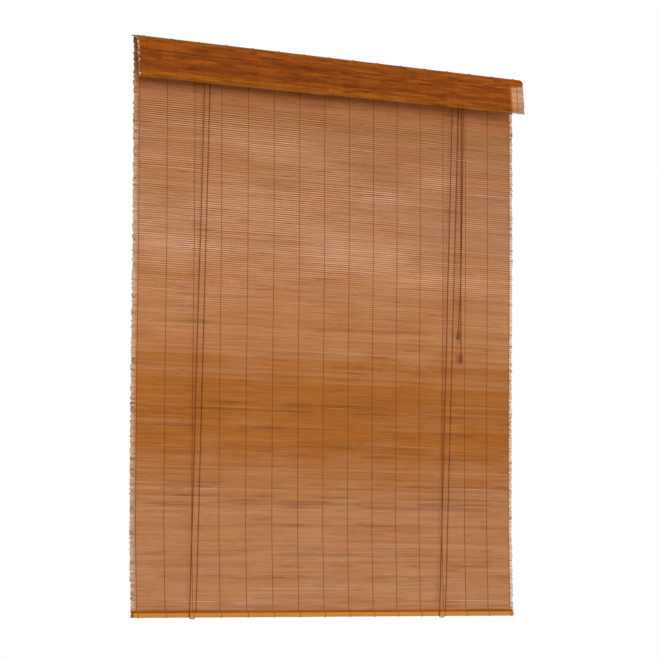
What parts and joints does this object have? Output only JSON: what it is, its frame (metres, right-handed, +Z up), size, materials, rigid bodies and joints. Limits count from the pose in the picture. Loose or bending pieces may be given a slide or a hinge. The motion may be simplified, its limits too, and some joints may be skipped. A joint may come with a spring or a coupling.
{
  "type": "bamboo roll up blind",
  "caption": "Woven bamboo reed blind with a headrail, a folded-over valance, lift cords, a cord lock and two tassels.",
  "frame": {"origin": "middle of the two ceiling screw holes, on the top face of the headrail", "axes": "+X to the right seen from the room, +Y from the room towards the window, +Z up along the drop"},
  "size_m": [1.424, 0.0575, 1.6147],
  "materials": {
    "reed": "matt",
    "batten_wood": "matt",
    "lath_bamboo": "satin",
    "tassel_wood": "satin",
    "thread": "matt",
    "cord": "matt",
    "steel_wire": "satin",
    "zinc_plate": "satin",
    "brass": "satin"
  },
  "bodies": {
    "head": {"headrail": "batten_wood", "mat": "reed", "mat_threads": "thread", "valance": "reed", "valance_threads": "thread", "mat_staples": "steel_wire", "valance_staples": "steel_wire", "left_pulley_housing": "zinc_plate", "left_pulley_screws": "steel_wire", "left_pulley_axle": "steel_wire", "lock_housing": "zinc_plate", "lock_screws": "steel_wire", "right_sheave_axle": "steel_wire", "lock_roller_axle": "steel_wire", "lock_cam_axle": "steel_wire", "upper_pull_cord": "cord", "lower_pull_cord": "cord", "left_anchor_eye": "steel_wire", "left_anchor_knot": "cord", "left_front_cord": "cord", "left_back_cord": "cord", "left_head_cord": "cord", "right_anchor_eye": "steel_wire", "right_anchor_knot": "cord", "right_front_cord": "cord", "right_back_cord": "cord", "right_head_cord": "cord"},
    "bottom_bar": {"front_lath": "lath_bamboo", "back_lath": "lath_bamboo", "lath_tacks": "steel_wire", "left_cord_loop": "cord", "right_cord_loop": "cord"},
    "upper_tassel": {"upper_tassel": "tassel_wood", "upper_tassel_knot": "cord"},
    "lower_tassel": {"lower_tassel": "tassel_wood", "lower_tassel_knot": "cord"},
    "left_sheave": {"left_sheave": "brass"},
    "right_sheave": {"right_sheave": "brass"},
    "lock_roller": {"lock_roller": "brass"},
    "lock_cam": {"lock_cam": "brass"}
  },
  "joints": [
    {"name": "lift", "type": "slide", "parent": "head", "child": "bottom_bar", "axis": [0, 0, 1], "range_m": [0, 1.42], "deforming": ["mat", "mat_threads", "left_front_cord", "left_back_cord", "right_front_cord", "right_back_cord"]},
    {"name": "upper_tassel_drop", "type": "slide", "parent": "head", "child": "upper_tassel", "axis": [0, 0, -1], "range_m": [0, 2.84], "deforming": ["upper_pull_cord"]},
    {"name": "lower_tassel_drop", "type": "slide", "parent": "head", "child": "lower_tassel", "axis": [0, 0, -1], "range_m": [0, 2.84], "deforming": ["lower_pull_cord"]},
    {"name": "left_sheave_spin", "type": "hinge", "parent": "head", "child": "left_sheave", "pos_m": [-0.4545, -0.005, -0.042], "axis": [0, 1, 0], "continuous": true},
    {"name": "right_sheave_spin", "type": "hinge", "parent": "head", "child": "right_sheave", "pos_m": [0.4665, 0.004, -0.042], "axis": [0, 1, 0], "continuous": true},
    {"name": "lock_roller_spin", "type": "hinge", "parent": "head", "child": "lock_roller", "pos_m": [0.4835, -0.0005, -0.042], "axis": [0, 1, 0], "continuous": true},
    {"name": "lock_cam_swing", "type": "hinge", "parent": "head", "child": "lock_cam", "pos_m": [0.479, -0.0005, -0.058], "axis": [0, 1, 0], "range_deg": [-70, 0]}
  ],
  "couplings": [
    {"joint": "upper_tassel_drop", "follows": "lift", "ratio": 2},
    {"joint": "lower_tassel_drop", "follows": "lift", "ratio": 2},
    {"joint": "left_sheave_spin", "follows": "lift", "rad_per_m": 235.29},
    {"joint": "right_sheave_spin", "follows": "lift", "rad_per_m": 235.29},
    {"joint": "lock_roller_spin", "follows": "lift", "rad_per_m": 235.29}
  ]
}
